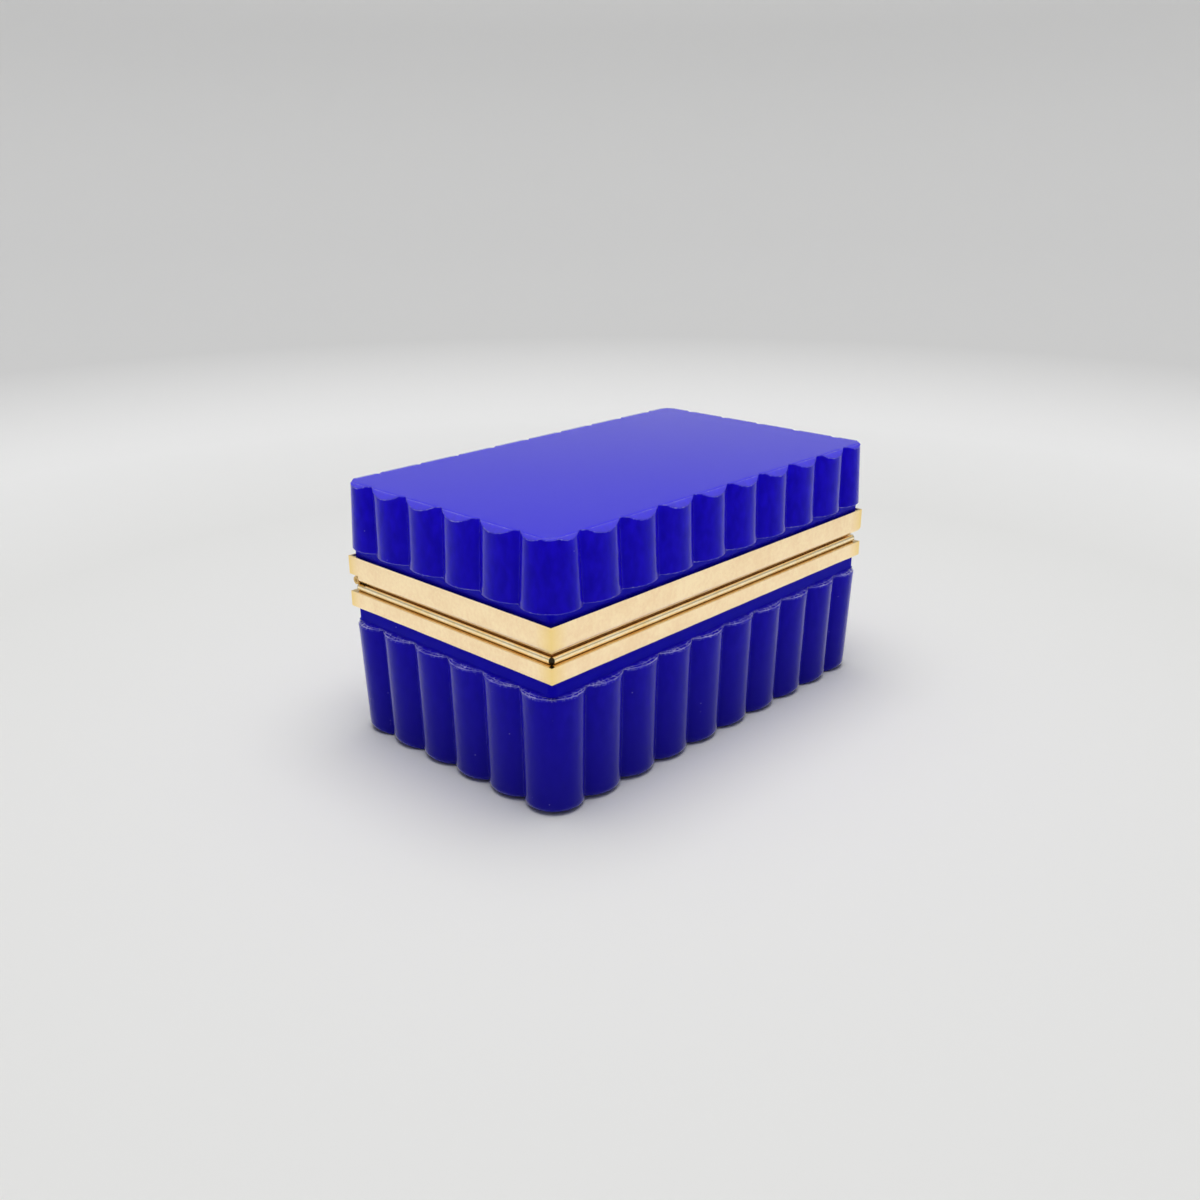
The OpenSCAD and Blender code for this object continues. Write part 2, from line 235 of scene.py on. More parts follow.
def lobed(x, y, corner, rise=LOBE_RISE, shrink=0.0):
    """Outline of all lobes. An arc on the chord c with swell h has the radius (c²/4 + h²) / 2h.

    The hollow between two arcs has its centre at each one's radius plus its own from their centres.
    """
    p = grooves(x, y, corner)
    q = np.roll(p, -1, axis=0)
    way = q - p
    chord = np.linalg.norm(way, axis=1)
    out = np.column_stack([way[:, 1], -way[:, 0]]) / chord[:, None]
    at_corner = (np.abs(way) > ALMOST_ZERO).all(axis=1)
    swell = np.where(at_corner, chord / 2, rise) - shrink
    radius = (chord ** 2 / 4 + swell ** 2) / (2 * swell)
    centre = (p + q) / 2 + out * (swell - radius)[:, None]

    before = np.roll(centre, 1, axis=0)
    apart = centre - before
    gap = np.linalg.norm(apart, axis=1)
    near = np.roll(radius, 1) + HOLLOW_R
    far = radius + HOLLOW_R
    share = (near ** 2 - far ** 2 + gap ** 2) / (2 * gap)
    height = np.sqrt(near ** 2 - share ** 2)
    unit = apart / gap[:, None]
    aside = np.column_stack([unit[:, 1], -unit[:, 0]])
    hollow = before + unit * share[:, None] + aside * height[:, None]

    after = np.roll(hollow, -1, axis=0)
    to_start = hollow - centre
    to_end = after - centre
    start = centre + to_start * (radius / far)[:, None]
    lobe_sweep = angle_between(to_start, to_end) % (2 * np.pi)
    lobes = arc(centre, start, lobe_sweep, LOBE_STEPS)
    hollow_start = lobes[:, -1]
    next_start = np.roll(start, -1, axis=0)
    hollow_sweep = angle_between(hollow_start - after, next_start - after)
    hollows = arc(after, hollow_start, hollow_sweep, HOLLOW_STEPS)[:, 1:-1]
    return np.concatenate([lobes, hollows], axis=1).reshape(-1, 2)


def onto_plate(points, x, y, r):
    """Nearest points on a round-cornered rectangle: from the nearest corner centre, r towards each point."""
    core = np.clip(points, [r - x, r - y], [x - r, y - r])
    away = points - core
    return core + r * away / np.linalg.norm(away, axis=1)[:, None]


def quarter(steps):
    """Sine and cosine of even turns from 0 to 90 degrees."""
    turn = np.linspace(0, np.pi / 2, steps + 1)
    return np.column_stack([np.sin(turn), np.cos(turn)])


trial = lobed(neck_x, neck_y, CUP_CORNER)
print("points in an outline", len(trial), "reaches, mm", np.abs(trial).max(axis=0).round(2))

# %% [markdown]
# ## The cup
#
# A press leaves the cup thick, with a heavy floor and a plain neck above the lobes for the mount. The
# outside follows the mould: a rounded foot, a slight draft so that it came out, and a soft lip where
# each lobe ends under the neck. The inside follows the plunger: straight, with round corners.

# %% The cup's shape at each height, and its inside
# roundings of the rim's edges, and between the wall and the floor
EDGE_R = 0.25
EDGE_STEPS = 3
PLUNGER_R = 1.6
PLUNGER_STEPS = 6


def cup_outline(z, inset=0.0, shrink=0.0):
    """Lobes at the height z: the half sizes and the corner lobes grow evenly from the foot to the ledge."""
    share = z / cup_ledge
    narrow = CUP_DRAFT * (1 - share) + inset
    corner = FOOT_CORNER + (CUP_CORNER - FOOT_CORNER) * share
    return lobed(neck_x - narrow, neck_y - narrow, corner, shrink=shrink)


def hollow_rings(neck, rim, floor, up):
    """The inside: over the rim, along the wall and round into the floor.

    up is 1 for a cup and -1 for a cover, whose rim is its lowest part.
    """
    x, y = neck_x - WALL, neck_y - WALL
    rings = [at_height(onto_plate(neck, neck_x - EDGE_R * (1 - c), neck_y - EDGE_R * (1 - c), NECK_R),
                       rim - up * EDGE_R * (1 - s)) for s, c in quarter(EDGE_STEPS)]
    rings += [at_height(onto_plate(neck, x + EDGE_R * (1 - s), y + EDGE_R * (1 - s), INSIDE_R),
                        rim - up * EDGE_R * (1 - c)) for s, c in quarter(EDGE_STEPS)]
    for s, c in quarter(PLUNGER_STEPS):
        inset = PLUNGER_R * (1 - c)
        ring = onto_plate(neck, x - inset, y - inset, INSIDE_R - inset)
        rings.append(at_height(ring, floor + up * PLUNGER_R * (1 - s)))
    return rings


# %% Marks and wear
# lengths of the waves of wear in millimetres, and how much each of them counts
CHIP_WAVES = np.array([6.3, 3.7, 2.4, 1.6])
CHIP_SHARES = np.array([0.2, 0.3, 0.25, 0.25])


def marked(rings):
    """Points of all rings, and the marks of each ring repeated for its points."""
    points = np.array([ring for ring, *_ in rings])
    marks = np.array([values for _, *values in rings])
    spread = np.repeat(marks[:, :, None], points.shape[1], axis=2)
    return points, dict(zip(("lip", "ground", "plain"), spread.swapaxes(0, 1)))


def chips(outline):
    """Uneven wear along an outline, 0 to 1: half, and a sum of sines of the length walked along it.

    Each wave is stretched a little, so that it fits a whole number of times.
    """
    rng = np.random.default_rng(seed=7)
    step = np.linalg.norm(np.roll(outline, -1, axis=0) - outline, axis=1)
    walked = np.concatenate([[0], np.cumsum(step)[:-1]])
    laps = np.round(step.sum() / CHIP_WAVES)[:, None]
    starts = rng.uniform(0, 2 * np.pi, laps.shape)
    waves = np.sin(2 * np.pi * laps * walked / step.sum() + starts) * CHIP_SHARES[:, None]
    return np.clip(0.5 + waves.sum(axis=0), 0, 1)


wear = chips(trial)
print("wear along the outline, least, mean, most", wear.min(), wear.mean().round(2), wear.max())

# %% Its rings, from the middle of the foot to the middle of the floor
# the hollow at the neck, how much the ledge rises to it, and the deepest chip
COVE_R = 0.35
DOME = 0.25
CHIP = 0.14
FOOT_STEPS = 8
WALL_LEVELS = 12
LIP_STEPS = 10
COVE_STEPS = 4
# rings on the ledge: the share of the way in to the neck, and the lip mark there
LEDGE_RINGS = ((0.3, 0.5), (0.65, 0.15))


def cup_rings():
    """Rings from the sole to the floor. Each has three marks: moulded lip, ground bevel, plain neck."""
    sole = cup_outline(0, inset=FOOT_R)
    half = [neck_x - CUP_DRAFT - FOOT_R - EDGE_R, neck_y - CUP_DRAFT - FOOT_R - EDGE_R]
    rings = [(at_height(np.clip(sole, np.negative(half), half), 0), 0, 0, 0)]
    for s, c in quarter(FOOT_STEPS):
        z = FOOT_R * (1 - c)
        rings.append((at_height(cup_outline(z, inset=FOOT_R * (1 - s)), z), 0, 0, 0))
    lip_low = cup_ledge - CUP_LIP_R
    for z in np.linspace(FOOT_R, lip_low, WALL_LEVELS)[1:-1]:
        rings.append((at_height(cup_outline(z), z), 0, 0, 0))
    wear = chips(cup_outline(lip_low))
    for s, c in quarter(LIP_STEPS):
        z = lip_low + (CUP_LIP_R - DOME) * s
        ring = cup_outline(z, shrink=CUP_LIP_R * (1 - c))
        rings.append((at_height(ring, z - CHIP * wear * s), s, 0, 0))
    top = rings[-1][0][:, :2]
    for share, lip in LEDGE_RINGS:
        ring = top + (onto_plate(top, neck_x + COVE_R, neck_y + COVE_R, NECK_R + COVE_R) - top) * share
        z = cup_ledge - DOME * (1 - share) ** 2 - CHIP * wear * (1 - share)
        rings.append((at_height(ring, z), lip, 0, 0))
    for s, c in quarter(COVE_STEPS):
        cove = COVE_R * (1 - s)
        ring = onto_plate(top, neck_x + cove, neck_y + cove, NECK_R + cove)
        rings.append((at_height(ring, cup_ledge + COVE_R * (1 - c)), 0, 0, s))
    neck = rings[-1][0][:, :2]
    rings += [(ring, 0, 0, 1) for ring in hollow_rings(neck, cup_rim, FLOOR_T, 1)]
    return marked(rings)


points, marks = cup_rings()
cup_glass = ring_mesh("cup_glass", points, **marks)

# %% [markdown]
# ## The cover
#
# The cover is the same pattern turned over. Its top was ground flat and polished, and a narrow bevel
# was ground on the flat's outline. The flat reaches a little past the grooves, so the bevel touches
# only the fullest part of each lobe and leaves a crescent there.

# %% The ground top
top_x = neck_x - COVER_DRAFT
top_y = neck_y - COVER_DRAFT


def bevel_width(p):
    """How far p lies outside the lines along which the bevel begins, or 0 inside them."""
    beyond = np.abs(p) - [top_x, top_y]
    across = beyond.sum(axis=1) / np.sqrt(2) + CORNER_BEVEL
    return np.maximum(np.maximum(beyond.max(axis=1) - FLAT_OUT, across), 0)


def bevel_start(p):
    """p brought in to those lines: clamped to the sides, then drawn in along the diagonal."""
    inside = np.minimum(np.abs(p), [top_x + FLAT_OUT, top_y + FLAT_OUT])
    over = (inside - [top_x, top_y]).sum(axis=1) / 2 + CORNER_BEVEL / np.sqrt(2)
    return np.sign(p) * (inside - np.maximum(over, 0)[:, None])


top_outline = lobed(top_x, top_y, TOP_CORNER)
print("bevel, mm, widest", bevel_width(top_outline).max().round(2),
      "reach of the flat", np.abs(bevel_start(top_outline)).max(axis=0).round(2))

# %% Its rings, from the middle of the top down, over the rim and up to the ceiling
TOP_EDGE_R = 0.1
TOP_EDGE_STEPS = 3
COVER_LEVELS = 14
COVER_LIP_STEPS = 6
# the lobes stand out by FLARE more at the ledge, which fades over FLARE_H of height
FLARE = 0.1
FLARE_H = 0.9
# the flat ends this share inside its outline, and the outline lies EDGE_DROP lower
FLAT_EDGE = 0.0015
EDGE_DROP = TOP_EDGE_R / 4
# rings close to an edge keep its mark narrow: shares of the way across the bevel and down the side
INTO_BEVEL = 0.15
UNDER_CROWN = 0.015
# lip marks: the value that rubbed edges carry, along which a highlight line is painted, and the one under the
# cover's lip
EDGE_HIGHLIGHT_MARK = 0.75
COVER_LIP_MARK = 0.9
COVER_CHIP = 0.4 * CHIP


def cover_outline(z, shrink=0.0):
    """Lobes at the height z, narrowing upward, with a slight flare where they end above the mount."""
    share = (z - cover_ledge) / (cover_top - cover_ledge)
    narrow = COVER_DRAFT * share
    corner = COVER_CORNER + (TOP_CORNER - COVER_CORNER) * share
    flare = FLARE * (1 - np.exp(-(z - cover_ledge) / FLARE_H))
    return lobed(neck_x - narrow, neck_y - narrow, corner, rise=LOBE_RISE - flare, shrink=shrink)


def cover_rings():
    """Rings from the flat top down to the rim and up to the ceiling, with the same three marks.

    The crown's mark grows with the fourth power of the turn's sine, so that it stays close to the edge.
    """
    crown = cover_outline(cover_top)
    inner = cover_outline(cover_top, shrink=TOP_EDGE_R)
    half = [top_x - EDGE_R, top_y - EDGE_R]
    start = bevel_start(inner)
    rings = [(at_height(np.clip(inner, np.negative(half), half), cover_top), 0, 0, 0),
             (at_height(start * (1 - FLAT_EDGE), cover_top), 0, 0, 0),
             (at_height(start, cover_top - EDGE_DROP), EDGE_HIGHLIGHT_MARK, 1, 0)]
    within = start + (inner - start) * INTO_BEVEL
    rings.append((at_height(within, cover_top - BEVEL_FALL * bevel_width(within) - EDGE_DROP), 0, 1, 0))
    for s, c in quarter(TOP_EDGE_STEPS):
        ring = inner + (crown - inner) * s
        drop = BEVEL_FALL * bevel_width(ring) + TOP_EDGE_R * (1 - c) + EDGE_DROP
        rings.append((at_height(ring, cover_top - drop), EDGE_HIGHLIGHT_MARK * s ** 4, 1 - s, 0))
    low_z = cover_ledge + COVER_LIP_R
    high_z = rings[-1][0][:, 2]
    for share in [UNDER_CROWN, *np.linspace(0, 1, COVER_LEVELS)[1:-1]]:
        even_z = cover_top + (low_z - cover_top) * share
        rings.append((at_height(cover_outline(even_z), high_z + (low_z - high_z) * share), 0, 0, 0))
    wear = chips(cover_outline(low_z))
    for s, c in quarter(COVER_LIP_STEPS):
        z = cover_ledge + COVER_LIP_R * (1 - s)
        ring = cover_outline(z, shrink=COVER_LIP_R * (1 - c))
        rings.append((at_height(ring, z + COVER_CHIP * wear * s), COVER_LIP_MARK * s, 0, 0))
    low = rings[-1][0][:, :2]
    for s, c in quarter(COVE_STEPS):
        cove = COVE_R * (1 - s)
        ring = onto_plate(low, neck_x + cove, neck_y + cove, NECK_R + cove)
        rings.append((at_height(ring, cover_ledge - COVE_R * (1 - c)), 0, 0, s))
    neck = rings[-1][0][:, :2]
    rings += [(ring, 0, 0, 1) for ring in hollow_rings(neck, cover_rim, cover_top - COVER_TOP_T, -1)]
    return marked(rings)


points, marks = cover_rings()
cover_glass = ring_mesh("cover_glass", points, **marks)

# %% [markdown]
# ## The brass rails
#
# Each frame is four strips of one section, mitred and soldered at the corners. The cup's section is a
# thin band with a flange over the glass and a land to close on. The cover's turns in below its band in
# a quarter round. Drawn brass has small round edges, which show as bright lines along the mount.

# %% Sections: millimetres inward from the band's face, and up
# the hinge's bay: its axis inward from the face, its barrel, the room round it and the leaf behind it
HINGE_IN = 2.0
BARREL_R = 1.2
BARREL_CLEAR = 0.15
LEAF_T = 0.45
bay_in = HINGE_IN + BARREL_R + BARREL_CLEAR + LEAF_T

# how far in the bead reaches; the roundings at the cup band's foot, where the cover's band turns in, and
# down the cover's back, which leaves BACK_WALL of metal; the small radii of outer and inner edges
BEAD_REACH = 3.1
FOOT_EDGE_R = 0.6
TURN_IN_R = 2.1
TURN_IN_STEPS = 8
BACK_R = 5.0
BACK_WALL = 0.3
BACK_STEPS = 12
SOFT = 0.12
FINE = 0.05


def rounded(corners, radii, steps=6):
    """Outline with each corner replaced by an arc that touches both of its sides."""
    p = np.array(corners, dtype=float)
    r = np.array(radii, dtype=float)
    a = np.roll(p, 1, axis=0) - p
    b = np.roll(p, -1, axis=0) - p
    a /= np.linalg.norm(a, axis=1)[:, None]
    b /= np.linalg.norm(b, axis=1)[:, None]
    half = np.arccos(np.clip((a * b).sum(axis=1), -1, 1)) / 2
    middle = (a + b) / np.linalg.norm(a + b, axis=1)[:, None]
    centre = p + middle * (r / np.sin(half))[:, None]
    start = p + a * (r / np.tan(half))[:, None]
    end = p + b * (r / np.tan(half))[:, None]
    sweep = angle_between(start - centre, end - centre)
    return arc(centre, start, sweep, steps).reshape(-1, 2)


flange_low = cup_band_top - FLANGE_T
cover_flange_top = bay_top + FLANGE_T
back_h = FLANGE_T + np.sqrt(BACK_R ** 2 - (BACK_R - BAND_T + BACK_WALL) ** 2)


def cup_section(land_in):
    """The cup's band, flange and land, the land's outer face lying land_in from the band's face."""
    corners = [(0, cup_band_low), (BAND_T, cup_band_low), (BAND_T, flange_low), (reach, flange_low),
               (reach, cup_land_top), (land_in, cup_land_top), (land_in, cup_band_top), (0, cup_band_top)]
    return rounded(corners, [FOOT_EDGE_R, FINE, FINE, FINE, SOFT, SOFT, FINE, SOFT])


def cover_section():
    """The cover's band, flange and turned-in foot."""
    corners = [(0, cover_land), (reach, cover_land), (reach, cover_flange_top),
               (BAND_T, cover_flange_top), (BAND_T, cover_band_top), (0, cover_band_top)]
    return rounded(corners, [TURN_IN_R, SOFT, FINE, FINE, SOFT, SOFT], steps=TURN_IN_STEPS)


def cover_rear_section():
    """The same over the hinge's bay, with a long rounding down its back."""
    corners = [(bay_in, bay_top), (bay_in, cover_land), (reach, cover_land), (reach, cover_flange_top),
               (BAND_T, cover_flange_top), (BAND_T, cover_band_top), (0, cover_band_top)]
    z = np.linspace(back_h, 0, BACK_STEPS)
    back = np.column_stack([BACK_R - np.sqrt(BACK_R ** 2 - (back_h - z) ** 2), bay_top + z])
    return np.concatenate([rounded(corners, [FINE, SOFT, SOFT, FINE, FINE, SOFT, SOFT]), back])


print("points round a section", len(cup_section(BEAD_REACH)), len(cover_section()),
      len(cover_rear_section()), "rounding of the back, mm", round(back_h, 2))

# %% A section carried along its side, mitred at both ends
SIDES = ["front", "right", "rear", "left"]
STATIONS = 26
# millimetres: where the recess's brown, part tarnish and part painted shade, begins, over how much it
# darkens, and how far a mitre's rub reaches
RECESS_FROM = 0.8
RECESS_OVER = 1.6
RUB_REACH = 1.6


def to_side(points, side):
    """From (along the run, inward, up) to the box, a quarter turn for each side after the front."""
    quarter_turns = SIDES.index(side)
    depth = band_y if quarter_turns % 2 == 0 else band_x
    turn = np.radians(90 * quarter_turns)
    x, y, z = points[..., 0], points[..., 1] - depth, points[..., 2]
    return np.stack([x * np.cos(turn) - y * np.sin(turn), x * np.sin(turn) + y * np.cos(turn), z], axis=-1)


def rail(name, section, side, bay_low=None, bay_high=None):
    """A mitred strip: the section at stations along the side, each end moved by its inward distance.

    bay_low or bay_high is the height that its rear end is cut to beside the hinge's bay.
    """
    half_run = band_x if side in ("front", "rear") else band_y
    inward, up = section[:, 0], section[:, 1]
    mitre = half_run - inward
    straight = np.linspace(reach - half_run, half_run - reach, STATIONS)
    along = [-mitre] + [np.full(len(section), x) for x in straight] + [mitre]
    heights = [up] * len(along)
    if bay_low is not None or bay_high is not None:
        low = -np.inf if bay_low is None else bay_low
        high = np.inf if bay_high is None else bay_high
        cut = np.clip(up, low, high)
        bay_edge = np.minimum(mitre, half_run - bay_in)
        along = along[:-1] + [bay_edge, bay_edge, mitre]
        heights = heights[:-1] + [up, cut, cut]
    if side == "left":
        along = [-x for x in along]
    along = np.array(along)
    points = np.stack([along, np.broadcast_to(inward, along.shape), np.array(heights)], axis=-1)
    recess = np.clip((inward - RECESS_FROM) / RECESS_OVER, 0, 1)
    corner = np.exp(-(half_run - np.abs(along)) / RUB_REACH)
    return ring_mesh(name, to_side(points, side), ends="flat",
                     recess=np.broadcast_to(recess, along.shape), corner=corner)


cup_bands = {}
cover_bands = {}
for side in SIDES:
    beside_bay = side in ("left", "right")
    land_in = bay_in if side == "rear" else BEAD_REACH
    cup_bands[side] = rail(f"cup_band_{side}", cup_section(land_in), side,
                           bay_high=cup_band_top if beside_bay else None)
    section = cover_rear_section() if side == "rear" else cover_section()
    cover_bands[side] = rail(f"cover_band_{side}", section, side, bay_low=bay_top if beside_bay else None)

# %% [markdown]
# ## Materials
#
# Colours are written as they look in daylight and turned into linear light by one function.

# %% Colour and nodes
def colour(hex_code):
    """Linear red, green, blue and alpha of an sRGB hex code.

    Dark values are divided by 12.92; the others, with 0.055 added, are divided by 1.055 and raised to 2.4.
    """
    value = np.array([int(hex_code[i:i + 2], 16) for i in (1, 3, 5)]) / 255
    linear = np.where(value <= 0.04045, value / 12.92, ((value + 0.055) / 1.055) ** 2.4)
    return (*linear.tolist(), 1.0)


def add(tree, kind, sockets=None, **settings):
    """Adds a node, sets its settings and fills its inputs: an output is linked, a value is set."""
    node = tree.nodes.new(kind)
    for name, value in settings.items():
        setattr(node, name, value)
    for name, value in (sockets or {}).items():
        if isinstance(value, bpy.types.NodeSocket):
            tree.links.new(value, node.inputs[name])
        else:
            node.inputs[name].default_value = value
    return node


def new_material(name):
    """An empty material and its node tree."""
    material = bpy.data.materials.new(name)
    material.use_nodes = True
    material.node_tree.nodes.clear()
    return material, material.node_tree


def every(size):
    """Scale at which a pattern repeats about every size millimetres: 1 / size in metres."""
    return 1 / (size * MM)


# sockets of a Mix node that is set to colour: the share of B, the colours A and B, and what comes out
FACTOR, A, B, MIXED = 0, 6, 7, 2
print("half grey, #808080, in linear light", round(colour("#808080")[0], 3))

# %% [markdown]
# ### Pressed opaline glass
#
# Opaline is glass made cloudy by fine crystals, here dyed a deep blue, so light goes a few millimetres
# in before it comes back. Its skin is fire-polished: glossy, yet faintly wavy from the mould, with a
# few seeds, which are tiny bubbles, and worn, slightly chipped edges where the lobes end, on which
# highlights and glints are painted pale. Typical soda glass has an index of 1.5. The reflections of
# glass this dark are what shows its form.

# %% Glass: its colour
def glass_colour(tree, place, height, level, plain):
    """Blue that is streaked down the lobes, even on the ground top, darker toward the foot with painted
    shade, clearer inside.
    """
    # streaks of uneven cloudiness down the lobes, 2 mm wide and twice as long
    drawn_down = add(tree, "ShaderNodeMapping", {"Vector": place, "Scale": (1.0, 1.0, 0.5)})
    cloud = add(tree, "ShaderNodeTexNoise", {
        "Vector": drawn_down.outputs[0], "Scale": every(2.0), "Detail": 5.0})
    uneven = add(tree, "ShaderNodeMapRange", {
        "Value": cloud.outputs["Fac"], "From Min": 0.3, "From Max": 0.7})
    streaks = add(tree, "ShaderNodeMix", {
        FACTOR: uneven.outputs[0], A: colour("#1A05D6"), B: colour("#240CF2")}, data_type="RGBA")
    tint = add(tree, "ShaderNodeMix", {
        FACTOR: level, A: streaks.outputs[MIXED], B: colour("#200DDA")}, data_type="RGBA")

    # painted shade: the cup is darker than the cover, and darkest at its foot, because little light comes
    # through from above
    depth = add(tree, "ShaderNodeMapRange", {
        "Value": height, "From Min": 0.0, "From Max": cover_top * MM, "To Min": 1.0, "To Max": 0.0})
    shaded_toward_foot = add(tree, "ShaderNodeMix", {
        FACTOR: depth.outputs[0], A: tint.outputs[MIXED], B: colour("#1B149D")}, data_type="RGBA")

    # the plain neck and the inside are clearer, because no mould pattern roughened them
    smooth = add(tree, "ShaderNodeMath", {0: plain, 1: 0.8}, operation="MULTIPLY")
    clear = add(tree, "ShaderNodeMix", {
        FACTOR: smooth.outputs[0], A: shaded_toward_foot.outputs[MIXED], B: colour("#0C02D4")}, data_type="RGBA")
    return clear.outputs[MIXED]


# %% Glass: its seeds
def glass_seeds(tree, place, upright, under):
    """Pale dots on the colour under: bubbles at the middle of some cells, but none on the ground top.

    The cells are 1.6 mm wide, and about one in twenty holds a bubble 0.3 mm across. Seeds are mostly
    finer than that; they are drawn so large that they show.
    """
    cells = add(tree, "ShaderNodeTexVoronoi", {"Vector": place, "Scale": every(1.6)})
    chosen = add(tree, "ShaderNodeMath", {0: cells.outputs["Color"], 1: 0.84}, operation="GREATER_THAN")
    dot = add(tree, "ShaderNodeMapRange", {
        "Value": cells.outputs["Distance"], "From Min": 0.05, "From Max": 0.12,
        "To Min": 0.6, "To Max": 0.0})
    held = add(tree, "ShaderNodeMath", {0: chosen.outputs[0], 1: dot.outputs[0]}, operation="MULTIPLY")
    seed = add(tree, "ShaderNodeMath", {0: held.outputs[0], 1: upright}, operation="MULTIPLY")
    seeded = add(tree, "ShaderNodeMix", {
        FACTOR: seed.outputs[0], A: under, B: colour("#A8A2F0")}, data_type="RGBA")
    return seeded.outputs[MIXED]


# %% Glass: its worn edges and painted glints
def glass_wear_and_glints(tree, place, lip):
    """How much wear and painted highlight a place has, 0 to 1: the stronger of a painted highlight line along
    a rubbed edge and scars with painted glints, times uneven patches.
    """
    # a painted highlight line along each rubbed edge: where the lip mark comes close to the value that those
    # edges carry
    beside = add(tree, "ShaderNodeMath", {0: lip, 1: EDGE_HIGHLIGHT_MARK}, operation="SUBTRACT")
    off_edge = add(tree, "ShaderNodeMath", {0: beside.outputs[0]}, operation="ABSOLUTE")
    edge = add(tree, "ShaderNodeMapRange", {
        "Value": off_edge.outputs[0], "From Min": 0.03, "From Max": 0.12, "To Min": 0.75, "To Max": 0.0})

    # scars where the mould bruised the ends of the lobes, with painted glints along them: contour lines of a
    # noise, like wavy threads
    bruise = add(tree, "ShaderNodeTexNoise", {"Vector": place, "Scale": every(1.4), "Detail": 2.0})
    from_middle = add(tree, "ShaderNodeMath", {0: bruise.outputs["Fac"], 1: 0.5}, operation="SUBTRACT")
    off_line = add(tree, "ShaderNodeMath", {0: from_middle.outputs[0]}, operation="ABSOLUTE")
    scar_and_glint = add(tree, "ShaderNodeMapRange", {
        "Value": off_line.outputs[0], "From Min": 0.01, "From Max": 0.035, "To Min": 0.9, "To Max": 0.0})
    scars_and_glints = add(tree, "ShaderNodeMath", {0: scar_and_glint.outputs[0], 1: lip}, operation="MULTIPLY")

    # both come and go in patches about 3.5 mm wide
    spots = add(tree, "ShaderNodeTexNoise", {"Vector": place, "Scale": every(3.5), "Detail": 1.0})
    patchy = add(tree, "ShaderNodeMapRange", {
        "Value": spots.outputs["Fac"], "From Min": 0.4, "From Max": 0.6, "To Min": 0.3, "To Max": 1.0})
    either = add(tree, "ShaderNodeMath", {0: scars_and_glints.outputs[0], 1: edge.outputs[0]}, operation="MAXIMUM")
    wear_and_glints = add(tree, "ShaderNodeMath", {0: either.outputs[0], 1: patchy.outputs[0]}, operation="MULTIPLY")
    return wear_and_glints.outputs[0]


# %% Glass: its waviness
def glass_waves(tree, place, upright, wear_and_glints):
    """Normal and roughness: long soft swells, a fine orange peel, and wear that stands out a little."""
    # swells 6.5 mm wide, about three times as long down the lobes; the ground top has none
    stretched = add(tree, "ShaderNodeMapping", {"Vector": place, "Scale": (1.0, 1.0, 0.35)})
    swell = add(tree, "ShaderNodeTexNoise", {
        "Vector": stretched.outputs[0], "Scale": every(6.5), "Detail": 2.0})
    moulded = add(tree, "ShaderNodeMath", {0: swell.outputs["Fac"], 1: upright}, operation="MULTIPLY")
    swells = add(tree, "ShaderNodeBump", {
        "Height": moulded.outputs[0], "Strength": 0.35, "Distance": 0.2 * MM})

    # the peel: bumps 0.7 mm wide, from glass that chilled as it touched the mould
    peel = add(tree, "ShaderNodeTexNoise", {"Vector": place, "Scale": every(0.7), "Detail": 2.0})
    rough_skin = add(tree, "ShaderNodeMath", {0: peel.outputs["Fac"], 1: upright}, operation="MULTIPLY")
    peels = add(tree, "ShaderNodeBump", {
        "Height": rough_skin.outputs[0], "Strength": 0.12, "Distance": 0.03 * MM,
        "Normal": swells.outputs[0]})
    chip = add(tree, "ShaderNodeBump", {
        "Height": wear_and_glints, "Strength": 0.6, "Distance": 0.2 * MM, "Normal": peels.outputs[0]})
    gloss = add(tree, "ShaderNodeMapRange", {"Value": swell.outputs["Fac"], "To Min": 0.06, "To Max": 0.13})
    return chip.outputs[0], gloss.outputs[0]


# %% Glass: its polish
def glass_polish(tree, lip, ground, plain, normal):
    """How much clear gloss shows: 1.35 slant^2.6 + 0.7 lip + 0.25 ground, held between 0 and 1.

    slant is 0 where the skin is seen square on and 1 at a glancing view. The plain neck and the inside
    keep a twentieth of it.
    """
    slant = add(tree, "ShaderNodeLayerWeight", {"Blend": 0.5, "Normal": normal}).outputs["Facing"]
    curve = add(tree, "ShaderNodeMath", {0: slant, 1: 2.6}, operation="POWER")
    slanted = add(tree, "ShaderNodeMath", {0: curve.outputs[0], 1: 1.35}, operation="MULTIPLY")
    at_lip = add(tree, "ShaderNodeMath", {
        0: lip, 1: 0.7, 2: slanted.outputs[0]}, operation="MULTIPLY_ADD")
    at_cut = add(tree, "ShaderNodeMath", {
        0: ground, 1: 0.25, 2: at_lip.outputs[0]}, operation="MULTIPLY_ADD", use_clamp=True)
    open_skin = add(tree, "ShaderNodeMath", {0: plain, 1: -0.95, 2: 1.0}, operation="MULTIPLY_ADD")
    polish = add(tree, "ShaderNodeMath", {
        0: at_cut.outputs[0], 1: open_skin.outputs[0]}, operation="MULTIPLY")
    return polish.outputs[0]


# %% The glass, put together
# millimetres below the top: where the moulded skin ends, and where the ground flat begins
SKIN_ENDS = 0.3
FLAT_BEGINS = 0.1


